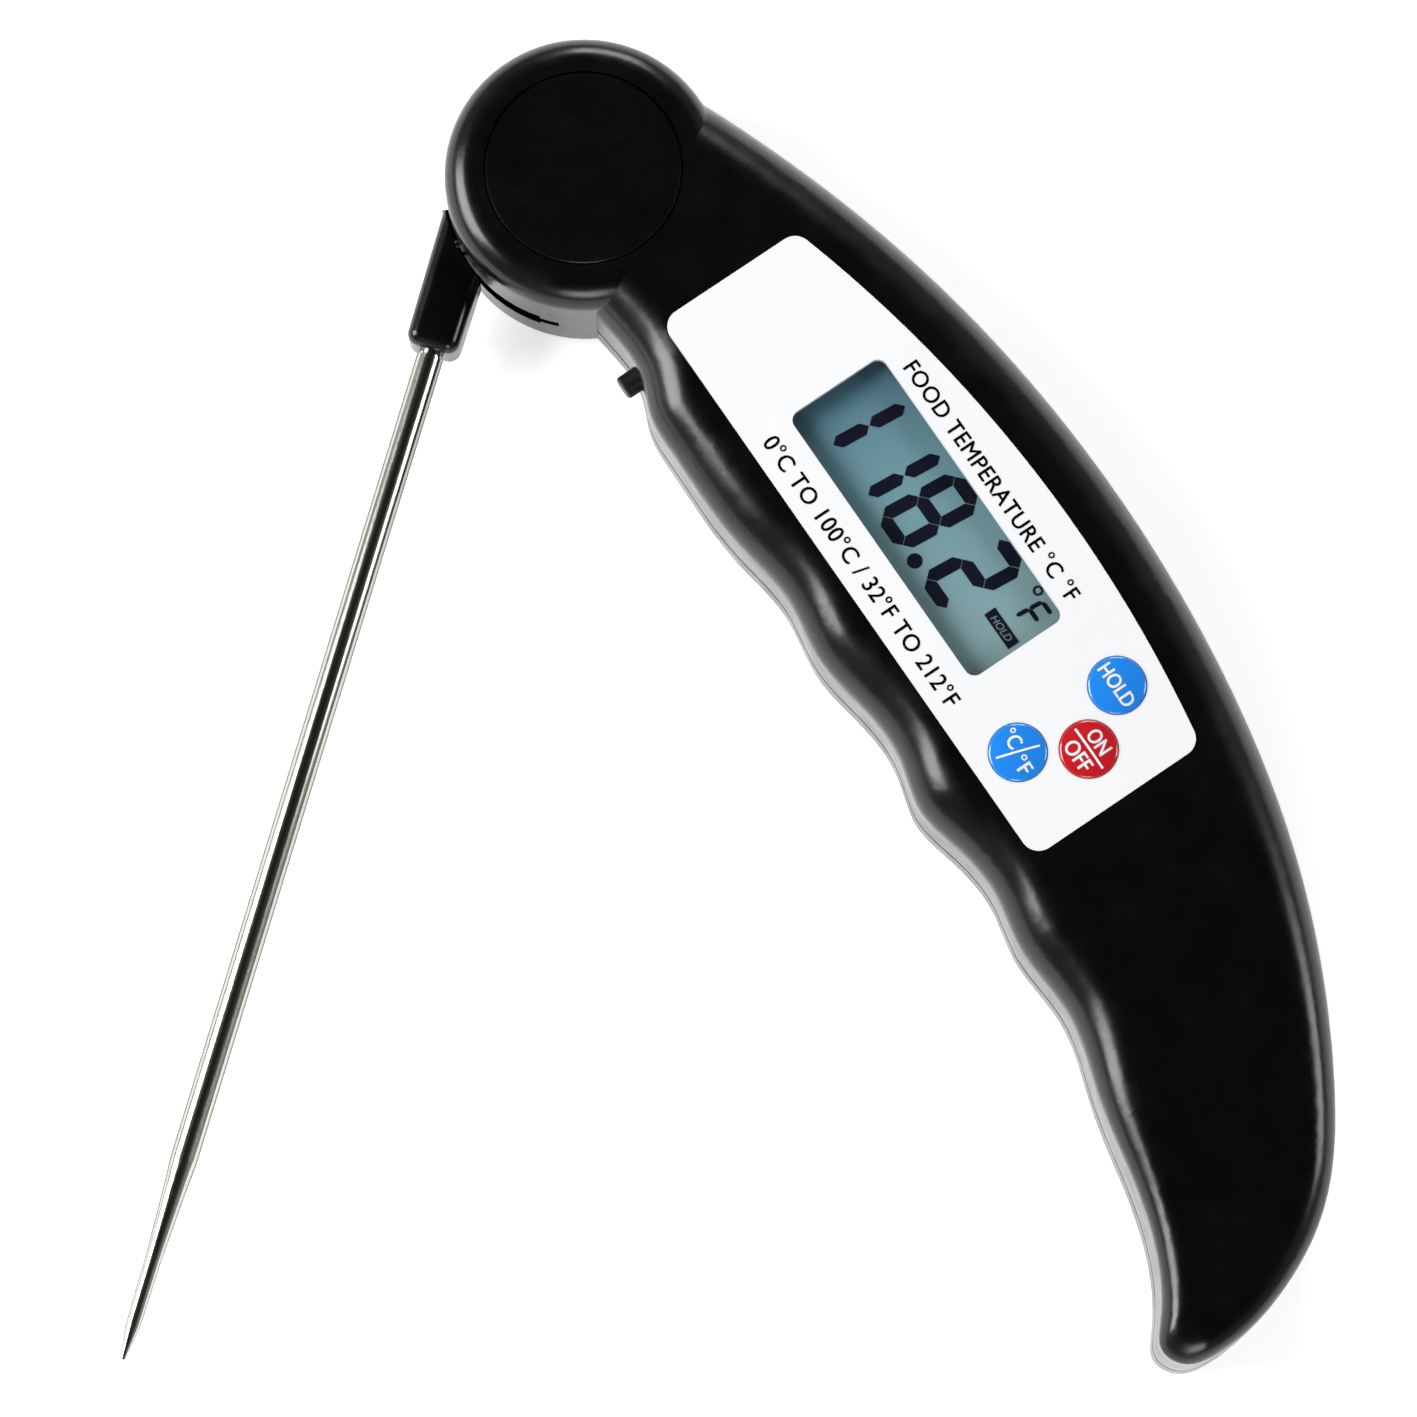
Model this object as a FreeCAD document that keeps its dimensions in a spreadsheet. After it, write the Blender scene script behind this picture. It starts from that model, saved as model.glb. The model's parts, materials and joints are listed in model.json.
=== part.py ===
import FreeCAD, Part
import Sketcher
import math
import os
import re

# Folding pocket thermometer with a swinging steel probe, a curved handle and a round hub.
# Millimetres. Z = 0 is the flat back, +Z points to the display. The origin is on the pivot axis.
# +X runs from the pivot to the handle's tail, and the finger grooves face -Y.

SIZES = {
    # housing
    "hub_radius": 15.3,
    "face_level": 18.5,
    "parting_level": 6.2,
    "parting_gap": 0.6,
    "shell_wall": 2.0,
    "lip_wall": 1.0,
    "lip_rise": 1.0,
    "lip_play": 0.08,
    "hub_edge": 3.2,
    "handle_edge": 5.5,
    "tail_edge": 2.6,
    "inner_edge": 3.0,
    "back_edge": 2.3,
    # probe pivot
    "skirt_wall": 1.0,
    "slot_level": 9.45,
    "slot_start": -45.4,
    "slot_span": 206.0,
    "lead_notch_span": 9.0,
    "drum_radius": 14.0,
    "drum_base": 6.45,
    "drum_top": 9.2,
    "post_radius": 4.0,
    "post_top": 13.5,
    "running_play": 0.05,
    "bearing_radius": 7.5,
    "washer_play": 0.03,
    # hub cap and pivot screw
    "cap_radius": 10.8,
    "cap_play": 0.12,
    "cap_depth": 1.2,
    "pivot_head_radius": 2.8,
    "pivot_head_depth": 1.2,
    "pivot_shank_radius": 1.5,
    "pivot_shank_end": 7.5,
    # probe
    "probe_heading": -43.0,
    "probe_offset": 11.1,
    "probe_level": 7.8,
    "arm_end": 22.3,
    "arm_root_width": 6.5,
    "arm_end_width": 5.9,
    "arm_depth": 6.6,
    "arm_round": 1.4,
    "arm_clear": 15.65,
    "neck_start": -108.0,
    "neck_span": 13.7,
    "tube_start": 12.0,
    "tube_radius": 1.5,
    "tube_grip": 1.3,
    "tube_bore": 1.15,
    "shoulder_start": 115.3,
    "tip_end": 137.6,
    # display and front plate, in the plate's own axes
    "plate_x": 51.5,
    "plate_y": 15.7,
    "plate_turn": 7.5,
    "plate_thick": 0.75,
    "plate_proud": 0.1,
    "plate_play": 0.1,
    "plate_corner": 2.0,
    "window_length": 35.0,
    "window_width": 12.2,
    "window_corner": 1.2,
    "lens_rim": 0.9,
    "lens_thick": 0.8,
    "ceiling_level": 16.5,
    "board_base": 10.2,
    "board_thick": 1.6,
    "board_start": -26.0,
    "board_end": 36.0,
    "board_width": 18.0,
    "panel_base": 14.5,
    "panel_thick": 1.9,
    "panel_length": 38.4,
    "panel_width": 15.8,
    "frame_length": 41.4,
    "frame_width": 18.6,
    # buttons
    "button_radius": 3.2,
    "button_play": 0.06,
    "button_flange": 3.55,
    "button_rim_level": 18.75,
    "button_crown": 0.4,
    "switch_side": 4.5,
    "switch_top": 14.0,
    "plunger_radius": 1.1,
    "plunger_top": 14.6,
    # auto-off pin
    "pin_x": 21.7,
    "pin_y": -4.55,
    "pin_heading": -82.3,
    "pin_level": 8.3,
    "pin_radius": 1.35,
    "pin_out": 1.8,
    "pin_play": 0.1,
    # battery bay
    "door_radius": 12.0,
    "door_thick": 1.4,
    "door_play": 0.15,
    "door_tab": 0.8,
    "bay_radius": 10.3,
    "bay_top": 5.2,
    "cell_radius": 10.0,
    "cell_thick": 3.2,
    "cell_base": 1.5,
    # screws that hold the two shells
    "boss_radius": 3.2,
    "screw_head_radius": 2.6,
    "screw_head_base": 1.3,
    "screw_head_top": 3.2,
    "screw_shank_radius": 1.25,
    "screw_end": 13.0,
}

# Handle outline as one smooth curve, from inside the hub along the convex back, round the tail and
# back along the four finger grooves to the inside of the hub.
HANDLE_BACK = [(-6.0, 12.9), (3.1, 18.2), (15.8, 24.5), (31.4, 30.4), (52.8, 35.4), (75.5, 37.3)]
HANDLE_BACK_TAIL = [(102.1, 34.9), (125.5, 27.1), (137.0, 19.8), (143.4, 10.6), (145.7, 2.2)]
HANDLE_TAIL = [(145.0, -1.3), (142.6, -2.7), (140.0, -1.5)]
HANDLE_GROOVES_TAIL = [(135.0, 1.0), (126.0, 2.9), (116.0, 3.8), (105.4, 5.1)]
HANDLE_GROOVES = [
    (97.6, 3.8), (91.0, 4.1), (84.6, 2.7), (79.2, 1.0), (73.0, 1.6), (66.3, 0.6),
    (59.5, -1.2), (52.0, -1.25), (44.0, -3.3), (31.5, -5.2), (26.8, -5.4), (22.5, -4.35),
    (16.1, -5.2), (8.0, -6.4),
]

HOUSING_SCREWS = [(102.0, 20.5), (132.0, 12.0), (20.5, 14.0)]
BOARD_SCREWS = [(-23.5, 6.0), (-23.5, -6.0), (33.6, 7.2), (33.6, -7.2)]
BUTTONS = {"hold": (26.8, 6.5), "power": (30.8, 0.0), "unit": (26.8, -6.5)}

doc = FreeCAD.newDocument("thermometer")
sheet = doc.addObject("Spreadsheet::Sheet", "sizes")
nodes = []


def fill_sheet():
    for row, (alias, value) in enumerate(SIZES.items(), start=1):
        sheet.set("A%d" % row, alias)
        sheet.set("B%d" % row, str(value))
        sheet.setAlias("B%d" % row, alias)
    doc.recompute()


def size(alias):
    return float(sheet.get(alias))


def formula(text):
    """An expression in which every alias of the sheet is written as sizes.alias."""
    return re.sub(r"[a-z]+(_[a-z]+)+", lambda word: "sizes." + word.group(0), str(text))


def bind(target, prop, text):
    target.setExpression(prop, formula(text))


def place(target, x=0, y=0, z=0, turn=0):
    bind(target, "Placement.Base.x", x)
    bind(target, "Placement.Base.y", y)
    bind(target, "Placement.Base.z", z)
    if turn:
        target.Placement.Rotation = FreeCAD.Rotation(FreeCAD.Vector(0, 0, 1), 1)
        bind(target, "Placement.Rotation.Angle", turn)
    return target


def cylinder(name, radius, low, high, x=0, y=0, start=0, span=360):
    """Upright cylinder between two levels, or a sector of it from the angle start."""
    target = doc.addObject("Part::Cylinder", name)
    bind(target, "Radius", radius)
    bind(target, "Height", "(%s) - (%s)" % (high, low))
    bind(target, "Angle", span)
    return place(target, x, y, low, start)


def block(name, length, width, low, high, x=0, y=0):
    """Upright block centred on x, y."""
    target = doc.addObject("Part::Box", name)
    bind(target, "Length", length)
    bind(target, "Width", width)
    bind(target, "Height", "(%s) - (%s)" % (high, low))
    return place(target, "(%s) - (%s) / 2" % (x, length), "(%s) - (%s) / 2" % (y, width), low)


def torus(name, radius, thickness, level):
    target = doc.addObject("Part::Torus", name)
    bind(target, "Radius1", radius)
    bind(target, "Radius2", thickness)
    return place(target, 0, 0, level)


def extrude(name, profile, low, high):
    target = doc.addObject("Part::Extrusion", name)
    target.Base = profile
    target.Dir = FreeCAD.Vector(0, 0, 1)
    target.DirMode = "Custom"
    target.Solid = True
    bind(target, "LengthFwd", "(%s) - (%s)" % (high, low))
    return place(target, 0, 0, low)


def fuse(name, shapes):
    target = doc.addObject("Part::MultiFuse", name)
    target.Shapes = shapes
    target.Refine = True
    return target


def group(name, shapes):
    """Separate solids kept side by side in one object."""
    target = doc.addObject("Part::Compound", name)
    target.Links = shapes
    return target


def cut(name, base, tools):
    """Cuts the tools from the base one after another."""
    for number, tool in enumerate(tools, start=1):
        target = doc.addObject("Part::Cut", "%s_%d" % (name, number))
        target.Base = base
        target.Tool = tool
        base = target
    return base


def round_edges(name, base, choose):
    """Fillet of the edges for which choose(edge) gives a pair of radii."""
    doc.recompute()
    target = doc.addObject("Part::Fillet", name)
    target.Base = base
    chosen = []
    for number, edge in enumerate(base.Shape.Edges, start=1):
        radii = choose(edge)
        if radii:
            chosen.append((number, radii[0], radii[1]))
    target.Edges = chosen
    doc.recompute()
    return target


def on_plate(target):
    """Puts an object modelled in the plate's own axes at its place on the handle."""
    placed = group(target.Name + "_on_plate", [target])
    return place(placed, "plate_x", "plate_y", 0, "plate_turn")


def keep(target, label):
    target.Label = label
    nodes.append(target)
    return target


def origin_plane(body, role):
    for feature in body.Origin.OriginFeatures:
        if feature.Role == role:
            return feature


def new_body(name):
    return doc.addObject("PartDesign::Body", name)


def sketch_on(body, name, role):
    sketch = body.newObject("Sketcher::SketchObject", name)
    sketch.AttachmentSupport = (origin_plane(body, role), [""])
    sketch.MapMode = "FlatFace"
    return sketch


def evaluate(text):
    """The number that a formula of sheet aliases stands for."""
    return float(sheet.evalExpression(formula(text)))


def polygon(sketch, corners):
    """Closed run of straight lines whose corners follow formulas of the sheet."""
    points = [FreeCAD.Vector(evaluate(x), evaluate(y), 0) for x, y in corners]
    for number, point in enumerate(points):
        following = points[(number + 1) % len(points)]
        sketch.addGeometry(Part.LineSegment(point, following), False)
    for number in range(len(points)):
        following = (number + 1) % len(points)
        sketch.addConstraint(Sketcher.Constraint("Coincident", number, 2, following, 1))
    for number, (x, y) in enumerate(corners):
        for direction, text, value in (("DistanceX", x, points[number].x), ("DistanceY", y, points[number].y)):
            index = sketch.addConstraint(Sketcher.Constraint(direction, -1, 1, number, 1, value))
            if re.search("[a-z]", str(text)):
                bind(sketch, "Constraints[%d]" % index, text)
    return sketch


def turned(name, corners):
    """Body of revolution about its own Z axis; corners are (radius, level) formulas."""
    body = new_body(name)
    sketch = polygon(sketch_on(body, name + "_profile", "XZ_Plane"), corners)
    spin = body.newObject("PartDesign::Revolution", name + "_turn")
    spin.Profile = sketch
    spin.ReferenceAxis = (sketch, ["V_Axis"])
    spin.Angle = 360
    return body


def outline_sketch(name, inset=0):
    """The handle's plan, moved inwards by a wall: one smooth curve in five runs, closed inside the hub."""
    runs = [HANDLE_BACK, HANDLE_BACK_TAIL, HANDLE_TAIL, HANDLE_GROOVES_TAIL, HANDLE_GROOVES]
    points = [FreeCAD.Vector(x, y, 0) for run in runs for x, y in run]
    outer = Part.BSplineCurve()
    outer.interpolate(points)
    moved = []
    for point in points:
        along = outer.tangent(outer.parameter(point))[0]
        moved.append(point + FreeCAD.Vector(along.y, -along.x, 0) * inset)
    curve = Part.BSplineCurve()
    curve.interpolate(moved)
    joints = [HANDLE_BACK[-1], HANDLE_BACK_TAIL[-1], HANDLE_GROOVES_TAIL[0], HANDLE_GROOVES[0]]
    numbers = [points.index(FreeCAD.Vector(x, y, 0)) for x, y in joints]
    ends = [curve.FirstParameter]
    ends += [curve.parameter(moved[number]) for number in numbers]
    ends.append(curve.LastParameter)
    sketch = doc.addObject("Sketcher::SketchObject", name)
    for start, end in zip(ends, ends[1:]):
        run = curve.copy()
        run.segment(start, end)
        sketch.addGeometry(run, False)
    sketch.addGeometry(Part.LineSegment(moved[-1], moved[0]), False)
    for number in range(6):
        sketch.addConstraint(Sketcher.Constraint("Coincident", number, 2, (number + 1) % 6, 1))
        sketch.addConstraint(Sketcher.Constraint("Block", number))
    return sketch


def level_edges(level, radius_at):
    """Chooser of a shape's edges that lie at one level, with radii from a function of the end points."""
    def choose(edge):
        box = edge.BoundBox
        if abs(box.ZMin - level) > 0.01 or abs(box.ZMax - level) > 0.01:
            return None
        ends = [edge.valueAt(edge.FirstParameter), edge.valueAt(edge.LastParameter)]
        if max(end.x for end in ends) < size("hub_radius") - 3:
            return None
        return radius_at(ends[0]), radius_at(ends[1])
    return choose


def rim_edges(level, radius):
    """Chooser of a shape's closed edges at one level."""
    def choose(edge):
        box = edge.BoundBox
        flat = abs(box.ZMin - level) < 0.01 and abs(box.ZMax - level) < 0.01
        return (radius, radius) if flat else None
    return choose


def upright_edges(radius):
    """Chooser of a shape's vertical edges."""
    def choose(edge):
        box = edge.BoundBox
        upright = box.ZLength > 0.1 and box.XLength < 0.01 and box.YLength < 0.01
        return (radius, radius) if upright else None
    return choose


def heading_rotation(heading):
    """Turns the Z axis to a horizontal heading."""
    across = FreeCAD.Rotation(FreeCAD.Vector(0, 1, 0), 90)
    return FreeCAD.Rotation(FreeCAD.Vector(0, 0, 1), heading).multiply(across)


def lay_along(target, x, y, level, heading):
    """Lays an object modelled along its own Z axis on a horizontal line."""
    target.Placement.Rotation = heading_rotation(size(heading))
    bind(target, "Placement.Base.x", x)
    bind(target, "Placement.Base.y", y)
    bind(target, "Placement.Base.z", level)
    return target


def rod_along(name, radius, start, end, x, y, level, heading):
    """Horizontal cylinder between two distances along a heading from a point."""
    target = doc.addObject("Part::Cylinder", name)
    bind(target, "Radius", radius)
    bind(target, "Height", "(%s) - (%s)" % (end, start))
    along_x = "%s + (%s) * cos(%s)" % (x, start, heading)
    along_y = "%s + (%s) * sin(%s)" % (y, start, heading)
    return lay_along(target, along_x, along_y, level, heading)


PROBE_LINE = (
    "probe_offset * sin(probe_heading)", "-probe_offset * cos(probe_heading)",
    "probe_level", "probe_heading",
)
PIN_LINE = ("pin_x", "pin_y", "pin_level", "pin_heading")


def rounded_block(name, length, width, low, high, corner):
    return round_edges(name, block(name + "_square", length, width, low, high), upright_edges(corner))


def plate_plan(name):
    """The front plate's outline: three straight sides and a bowed one."""
    corners = [(-34.1, 6.3), (-34.1, -11.6), (37.2, -11.6), (37.2, 10.2)]
    crown = FreeCAD.Vector(8.5, 12.75, 0)
    points = [FreeCAD.Vector(x, y, 0) for x, y in corners]
    sketch = doc.addObject("Sketcher::SketchObject", name)
    for start, end in zip(points, points[1:]):
        sketch.addGeometry(Part.LineSegment(start, end), False)
    sketch.addGeometry(Part.Arc(points[3], crown, points[0]), False)
    for number in range(4):
        sketch.addConstraint(Sketcher.Constraint("Coincident", number, 2, (number + 1) % 4, 1))
    return sketch


def plate_solid(name, plan, low, high, corner):
    return round_edges(name, extrude(name + "_square", plan, low, high), upright_edges(corner))


def wire_tube(route, radius):
    """Round wire along straight runs joined by tangent arcs."""
    points = [FreeCAD.Vector(*point) for point in route]
    edges = []
    last = points[0]
    for before, corner, after in zip(points, points[1:], points[2:]):
        incoming = (corner - before).normalize()
        outgoing = (after - corner).normalize()
        half_turn = incoming.getAngle(outgoing) / 2
        shorter = min((corner - before).Length, (after - corner).Length)
        setback = 0.45 * shorter
        bend = setback / math.tan(half_turn)
        enter = corner - incoming * setback
        leave = corner + outgoing * setback
        bisector = (outgoing - incoming).normalize()
        middle = corner + bisector * (bend / math.cos(half_turn) - bend)
        edges.append(Part.LineSegment(last, enter).toShape())
        edges.append(Part.Arc(enter, middle, leave).toShape())
        last = leave
    edges.append(Part.LineSegment(last, points[-1]).toShape())
    path = Part.Wire(edges)
    start = (points[1] - points[0]).normalize()
    profile = Part.Wire([Part.makeCircle(radius, points[0], start)])
    tube = path.makePipeShell([profile], True, False)
    if abs(tube.Volume / (math.pi * radius ** 2 * path.Length) - 1) > 0.02:
        raise RuntimeError("a wire's volume differs from its section times its length")
    return tube


def shaped(name, shape):
    target = doc.addObject("Part::Feature", name)
    target.Shape = shape
    return target


def tail_taper(full, tail):
    """Edge radius that is full along the handle and smaller round the tail."""
    def radius_at(point):
        return tail if point.x > 115 else full
    return radius_at


def front_shell(plan, plan_in, plan_rebate, plate_recess):
    handle = extrude("front_handle", plan, "parting_level", "face_level")
    edge = level_edges(size("face_level"), tail_taper(size("handle_edge"), size("tail_edge")))
    handle = round_edges("front_handle_round", handle, edge)
    hub = cylinder("front_hub", "hub_radius", "parting_level", "face_level")
    hub = round_edges("front_hub_round", hub, rim_edges(size("face_level"), size("hub_edge")))
    outside = fuse("front_outside", [handle, hub])
    below = "parting_level - 1"
    room = extrude("front_room_plain", plan_in, below, "ceiling_level")
    edge = level_edges(size("ceiling_level"), tail_taper(size("inner_edge"), 0.6))
    room = round_edges("front_room", room, edge)
    hollows = [
        room,
        cylinder("front_hub_room", "hub_radius - shell_wall", below, "face_level - 3"),
        cylinder("drum_room", "hub_radius - skirt_wall", below, "slot_level"),
        cylinder("arm_slot", "hub_radius + shell_wall", below, "slot_level", 0, 0,
                 "slot_start - slot_span", "slot_span"),
        cylinder("lead_notch", "hub_radius + shell_wall", "probe_level - 0.8", "probe_level + 0.8", 0, 0,
                 "slot_start - 1", "lead_notch_span"),
        extrude("front_rebate", plan_rebate, below, "parting_level + lip_rise + lip_play"),
    ]
    shell = cut("front_shell_hollow", outside, hollows)
    bosses = [shell, cylinder("bearing_boss", "bearing_radius", "slot_level", "ceiling_level")]
    pilots = []
    for number, (x, y) in enumerate(HOUSING_SCREWS, start=1):
        bosses.append(cylinder("front_boss_%d" % number, "boss_radius", "parting_level", "face_level - 1", x, y))
        pilots.append(cylinder("front_pilot_%d" % number, "screw_shank_radius + pin_play / 2", "parting_level - 1",
                               "screw_end + 1", x, y))
    posts = []
    post_holes = []
    for number, (x, y) in enumerate(BOARD_SCREWS, start=1):
        posts.append(cylinder("board_post_%d" % number, "shell_wall", "board_base + board_thick",
                              "ceiling_level + 1", x, y))
        post_holes.append(cylinder("board_post_hole_%d" % number, 0.9, "board_base", 15.4, x, y))
    for number, (x, y) in enumerate(BUTTONS.values(), start=1):
        post_holes.append(cylinder("button_hole_%d" % number, "button_radius + button_play",
                                   "ceiling_level - 1", "face_level + 1", x, y))
    lens_length = "window_length + 2 * lens_rim + 2 * plate_play"
    lens_width = "window_width + 2 * lens_rim + 2 * plate_play"
    post_holes.append(rounded_block("lens_opening", lens_length, lens_width, "ceiling_level - 1",
                                    "face_level + 1", size("window_corner")))
    bosses.append(on_plate(group("board_posts", posts)))
    holes = [
        on_plate(group("plate_openings", post_holes)),
        plate_recess,
        cylinder("post_socket", "post_radius + running_play", "slot_level - 1", "post_top + pin_play"),
        cylinder("pivot_hole", "pivot_shank_radius + pin_play", "slot_level", "face_level"),
        cylinder("pivot_counterbore", "pivot_head_radius + pin_play",
                 "face_level - cap_depth - pivot_head_depth", "face_level"),
        cylinder("cap_recess", "cap_radius + cap_play", "face_level - cap_depth", "face_level + 1"),
        rod_along("pin_hole", "pin_radius + pin_play", -4, 4, *PIN_LINE),
    ]
    whole = fuse("front_shell_bossed", bosses)
    return keep(cut("front_shell_solid", whole, holes + pilots), "front_shell")


def back_shell(plan, plan_in, plan_lip):
    handle = extrude("back_handle", plan, 0, "parting_level - parting_gap")
    handle = round_edges("back_handle_round", handle, level_edges(0, tail_taper(size("back_edge"), 1.6)))
    hub = cylinder("back_hub", "hub_radius", 0, "parting_level")
    hub = round_edges("back_hub_round", hub, rim_edges(0, size("back_edge")))
    room = cut("back_room", extrude("back_room_plain", plan_in, "shell_wall", "parting_level + 1"),
               [cylinder("back_hub_keep", "hub_radius - skirt_wall", 0, "parting_level + 2")])
    shell = cut("back_shell_hollow", fuse("back_outside", [handle, hub]), [room])
    lip_inside = extrude("back_lip_inside", plan_in, "shell_wall", "parting_level + 2")
    lip = cut("back_lip", extrude("back_lip_plain", plan_lip, "parting_level - 2", "parting_level + lip_rise"),
              [lip_inside, cylinder("back_lip_end", "hub_radius + pin_play", 0, "parting_level + 3")])
    solids = [shell, lip, cylinder("pivot_post", "post_radius", "bay_top", "post_top")]
    tab_reach = "door_radius + door_tab + door_play"
    bay = [
        cylinder("door_recess", "door_radius + door_play", -1, "door_thick + pin_play"),
        cylinder("tab_track", tab_reach, 0.85, "door_thick + pin_play"),
        cylinder("battery_bay", "bay_radius", 0, "bay_top"),
        cut("seal_groove", cylinder("seal_groove_outer", "bay_radius + 1.4", 1, 2.15),
            [cylinder("seal_groove_inner", "bay_radius + 0.6", 1, 2.15)]),
        block("contact_passage", 14, 8.4, 3.2, "bay_top", 14, 0),
        cylinder("pivot_pilot", "pivot_shank_radius + running_play", "bay_top + 1.2", "post_top + 1"),
        rod_along("pin_notch", "pin_radius + pin_play", -4, 4, *PIN_LINE),
    ]
    for number, start in enumerate((-52, 128), start=1):
        bay.append(cylinder("tab_entry_%d" % number, tab_reach, -1, 1, 0, 0, start, 34))
    for number, (x, y) in enumerate(HOUSING_SCREWS, start=1):
        solids.append(cylinder("back_boss_%d" % number, "boss_radius + 1", 1, "parting_level", x, y))
        bay.append(cylinder("head_hole_%d" % number, "screw_head_radius + 0.3", -1, "screw_head_top", x, y))
        bay.append(cylinder("shank_hole_%d" % number, "screw_shank_radius + 0.2", 0, "parting_level + 1", x, y))
    return keep(cut("back_shell_solid", fuse("back_shell_bossed", solids), bay), "back_shell")


def front_plate(plan):
    low = "face_level + plate_proud - plate_thick"
    plate = plate_solid("plate_blank", plan, low, "face_level + plate_proud", size("plate_corner"))
    openings = [rounded_block("window_opening", "window_length", "window_width", "ceiling_level",
                              "face_level + 1", size("window_corner"))]
    for number, (x, y) in enumerate(BUTTONS.values(), start=1):
        openings.append(cylinder("plate_hole_%d" % number, "button_radius + button_play",
                                 "ceiling_level", "face_level + 1", x, y))
    keep(on_plate(cut("plate_solid", plate, openings)), "faceplate")


def display():
    lens_base = "ceiling_level + plate_play"
    lens = rounded_block("lens_solid", "window_length + 2 * lens_rim", "window_width + 2 * lens_rim",
                         lens_base, "%s + lens_thick" % lens_base, size("window_corner"))
    keep(on_plate(lens), "lcd_window")
    panel = block("panel_solid", "panel_length", "panel_width", "panel_base", "panel_base + panel_thick")
    keep(on_plate(panel), "lcd_panel")
    frame = cut("frame_solid",
                block("frame_blank", "frame_length", "frame_width", "board_base + board_thick", "panel_base"),
                [block("frame_window", "panel_length - 4", "panel_width - 3", "board_base", "ceiling_level", 0, -0.7),
                 block("strip_slot", "panel_length - 2", 1.9, "board_base", "ceiling_level", 0, 7.6)])
    keep(on_plate(frame), "lcd_frame")
    reflector = block("reflector_solid", "panel_length - 4.4", "panel_width - 3.4",
                      "panel_base - 0.4", "panel_base - 0.05", 0, -0.7)
    keep(on_plate(reflector), "lcd_reflector")
    strip = block("strip_solid", "panel_length - 2.4", 1.5, "board_base + board_thick", "panel_base", 0, 7.6)
    keep(on_plate(strip), "zebra_strip")


def board():
    board_top = "board_base + board_thick"
    blank = block("board_blank", "board_end - board_start", "board_width", "board_base", board_top,
                  "(board_start + board_end) / 2", 0)
    holes = [cylinder("board_hole_%d" % number, 1.05, "board_base - 1", "board_base + 3", x, y)
             for number, (x, y) in enumerate(BOARD_SCREWS, start=1)]
    keep(on_plate(cut("board_solid", blank, holes)), "circuit_board")
    blob = doc.addObject("Part::Ellipsoid", "chip_blob_solid")
    bind(blob, "Radius1", 1.4)
    bind(blob, "Radius2", 5.2)
    bind(blob, "Radius3", 4.4)
    bind(blob, "Angle2", 0)
    keep(on_plate(place(blob, -6, 0, "board_base")), "chip_blob")
    parts = []
    for number, (x, y) in enumerate([(6, 5), (6, 1), (6, -3), (11, 4), (11, -4), (18, 0), (22, 5)], start=1):
        parts.append(block("chip_part_%d" % number, 2.0, 1.25, "board_base - 0.7", "board_base", x, y))
    keep(on_plate(group("board_parts_solid", parts)), "board_components")
    screws = []
    for number, (x, y) in enumerate(BOARD_SCREWS, start=1):
        screw = turned("board_screw_%d" % number, [
            (0, "board_base - 1.1"), (1.7, "board_base - 1.1"), (1.7, "board_base"),
            (0.85, "board_base"), (0.85, 14.9), (0, 15.2)])
        screws.append(place(screw, x, y, 0))
    keep(on_plate(group("board_screws_solid", screws)), "board_screws")


def button(name, x, y):
    crown_level = "button_rim_level + button_crown"
    cap = turned(name + "_cap", [
        (0, "plunger_top"), (1.4, "plunger_top"), (1.4, 15.4), ("button_flange", 15.4),
        ("button_flange", 16.2), ("button_radius", 16.2), ("button_radius", crown_level), (0, crown_level)])
    ball = doc.addObject("Part::Sphere", name + "_crown")
    ball_radius = "(button_radius ^ 2 + button_crown ^ 2) / (2 * button_crown)"
    bind(ball, "Radius", ball_radius)
    place(ball, 0, 0, "%s - %s" % (crown_level, ball_radius))
    dome = doc.addObject("Part::Common", name + "_dome")
    dome.Base = cap
    dome.Tool = ball
    soft = round_edges(name + "_soft", dome, rim_edges(size("button_rim_level"), 0.3))
    keep(on_plate(place(soft, x, y, 0)), name + "_button")
    body = cut(name + "_switch_solid",
               block(name + "_switch_blank", "switch_side", "switch_side", "board_base + board_thick",
                     "switch_top", x, y),
               [cylinder(name + "_switch_bore", "plunger_radius + pin_play", 12.8, "switch_top + 1", x, y)])
    keep(on_plate(body), name + "_switch")
    plunger = turned(name + "_plunger_solid", [
        (0, 13.35), ("plunger_radius", 13.35), ("plunger_radius", "plunger_top - 0.1"),
        ("plunger_radius - 0.1", "plunger_top"), (0, "plunger_top")])
    keep(on_plate(place(plunger, x, y, 0)), name + "_plunger")


def auto_off():
    pin = turned("pin_solid", [
        (0, -5.3), (0.9, -5.3), (0.9, -3.7), (2.1, -3.7), (2.1, -3.0), ("pin_radius", -3.0),
        ("pin_radius", "pin_out - 0.2"), ("pin_radius - 0.2", "pin_out"), (0, "pin_out")])
    keep(lay_along(pin, *PIN_LINE), "auto_off_pin")
    turns, steps, coil_radius, rise = 3.5, 8, 1.45, 2.2
    coil = []
    for number in range(int(turns * steps) + 1):
        angle = 2 * math.pi * number / steps
        level = -6.15 + rise * number / (turns * steps)
        coil.append((coil_radius * math.cos(angle), coil_radius * math.sin(angle), level))
    spring = shaped("spring_solid", wire_tube(coil, 0.16))
    keep(lay_along(spring, *PIN_LINE), "pin_spring")
    housing = doc.addObject("Part::Box", "fold_switch_solid")
    bind(housing, "Length", 5)
    bind(housing, "Width", 4.4)
    bind(housing, "Height", 4)
    back_x = "pin_x - 11.5 * cos(pin_heading) - 2.2 * cos(pin_heading + 90)"
    back_y = "pin_y - 11.5 * sin(pin_heading) - 2.2 * sin(pin_heading + 90)"
    place(housing, back_x, back_y, "pin_level - 2.3", "pin_heading")
    keep(housing, "auto_off_switch")


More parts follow.
